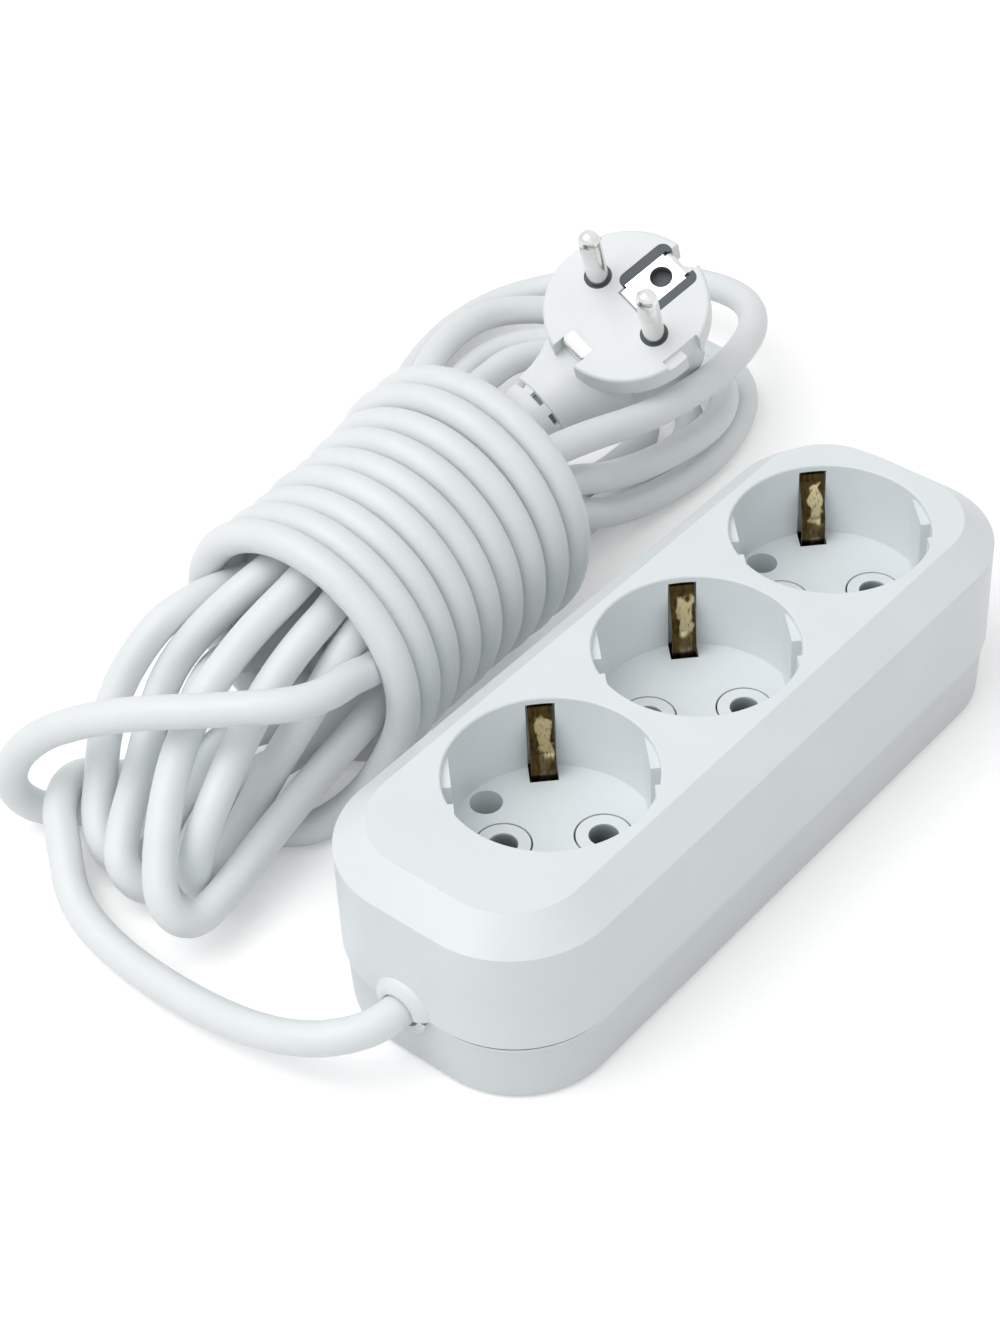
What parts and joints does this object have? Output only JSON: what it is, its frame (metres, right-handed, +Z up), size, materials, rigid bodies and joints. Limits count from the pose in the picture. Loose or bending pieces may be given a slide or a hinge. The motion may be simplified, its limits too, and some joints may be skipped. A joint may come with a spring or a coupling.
{
  "type": "extension cord",
  "caption": "Extension lead: a long rounded socket block with round earthed recesses, an angled two-pin plug, and a round cord folded into a hank with its last turns wound round the waist.",
  "frame": {"origin": "middle of the underside of the socket block", "axes": "+Z up; X along the block, the cord leaving at its -X end; the wound cord and the plug lie on the +Y side"},
  "size_m": [0.2376, 0.1765, 0.0709],
  "materials": {
    "white_plastic": "off-white moulded plastic, soft gloss",
    "plug_white_pvc": "off-white moulded PVC, soft gloss",
    "grey_plastic": "dark grey plastic",
    "nickel_plated_brass": "bright nickel plate",
    "brass": "bright brass strip",
    "zinc_plated_steel": "zinc plated",
    "brown_core_pvc": "brown PVC insulation",
    "blue_core_pvc": "blue PVC insulation",
    "green_yellow_core_pvc": "green and yellow striped PVC insulation",
    "white_cord_pvc": "white PVC sheath, soft gloss"
  },
  "bodies": {
    "block_and_cord": {"base_tray": "white_plastic", "case_screws": "zinc_plated_steel", "clamp_screws": "zinc_plated_steel", "contact_carrier_far": "white_plastic", "contact_carrier_middle": "white_plastic", "contact_carrier_near": "white_plastic", "cord_clamp": "white_plastic", "cord_end_in_block": "white_cord_pvc", "cord_end_in_plug": "white_cord_pvc", "cord_hank": "white_cord_pvc", "cord_lead": "white_cord_pvc", "cord_tail": "white_cord_pvc", "cord_wrap": "white_cord_pvc", "core_blue": "blue_core_pvc", "core_brown": "brown_core_pvc", "core_green_yellow": "green_yellow_core_pvc", "earth_bar": "brass", "live_bar": "brass", "neutral_bar": "brass", "plug_body": "plug_white_pvc", "plug_bridge": "grey_plastic", "plug_core_blue": "blue_core_pvc", "plug_core_brown": "brown_core_pvc", "plug_core_green_yellow": "green_yellow_core_pvc", "plug_earth_strip": "nickel_plated_brass", "plug_pin_left": "nickel_plated_brass", "plug_pin_right": "nickel_plated_brass", "top_cover": "white_plastic"},
    "earth_clip_far_back": {"earth_clip_far_back": "brass"},
    "earth_clip_far_front": {"earth_clip_far_front": "brass"},
    "earth_clip_middle_back": {"earth_clip_middle_back": "brass"},
    "earth_clip_middle_front": {"earth_clip_middle_front": "brass"},
    "earth_clip_near_back": {"earth_clip_near_back": "brass"},
    "earth_clip_near_front": {"earth_clip_near_front": "brass"}
  },
  "joints": [
    {"name": "earth_clip_far_back_spring", "type": "hinge", "parent": "block_and_cord", "child": "earth_clip_far_back", "pos_m": [0.06319, 0.01344, 0.0102], "axis": [-0.7071, 0.7071, 0], "range_deg": [0, 3], "stiffness_Nm_per_rad": 0.4},
    {"name": "earth_clip_far_front_spring", "type": "hinge", "parent": "block_and_cord", "child": "earth_clip_far_front", "pos_m": [0.03632, -0.01344, 0.0102], "axis": [0.7071, -0.7071, 0], "range_deg": [0, 3], "stiffness_Nm_per_rad": 0.4},
    {"name": "earth_clip_middle_back_spring", "type": "hinge", "parent": "block_and_cord", "child": "earth_clip_middle_back", "pos_m": [0.01869, 0.01344, 0.0102], "axis": [-0.7071, 0.7071, 0], "range_deg": [0, 3], "stiffness_Nm_per_rad": 0.4},
    {"name": "earth_clip_middle_front_spring", "type": "hinge", "parent": "block_and_cord", "child": "earth_clip_middle_front", "pos_m": [-0.00818, -0.01344, 0.0102], "axis": [0.7071, -0.7071, 0], "range_deg": [0, 3], "stiffness_Nm_per_rad": 0.4},
    {"name": "earth_clip_near_back_spring", "type": "hinge", "parent": "block_and_cord", "child": "earth_clip_near_back", "pos_m": [-0.02582, 0.01344, 0.0102], "axis": [-0.7071, 0.7071, 0], "range_deg": [0, 3], "stiffness_Nm_per_rad": 0.4},
    {"name": "earth_clip_near_front_spring", "type": "hinge", "parent": "block_and_cord", "child": "earth_clip_near_front", "pos_m": [-0.05269, -0.01344, 0.0102], "axis": [0.7071, -0.7071, 0], "range_deg": [0, 3], "stiffness_Nm_per_rad": 0.4}
  ]
}
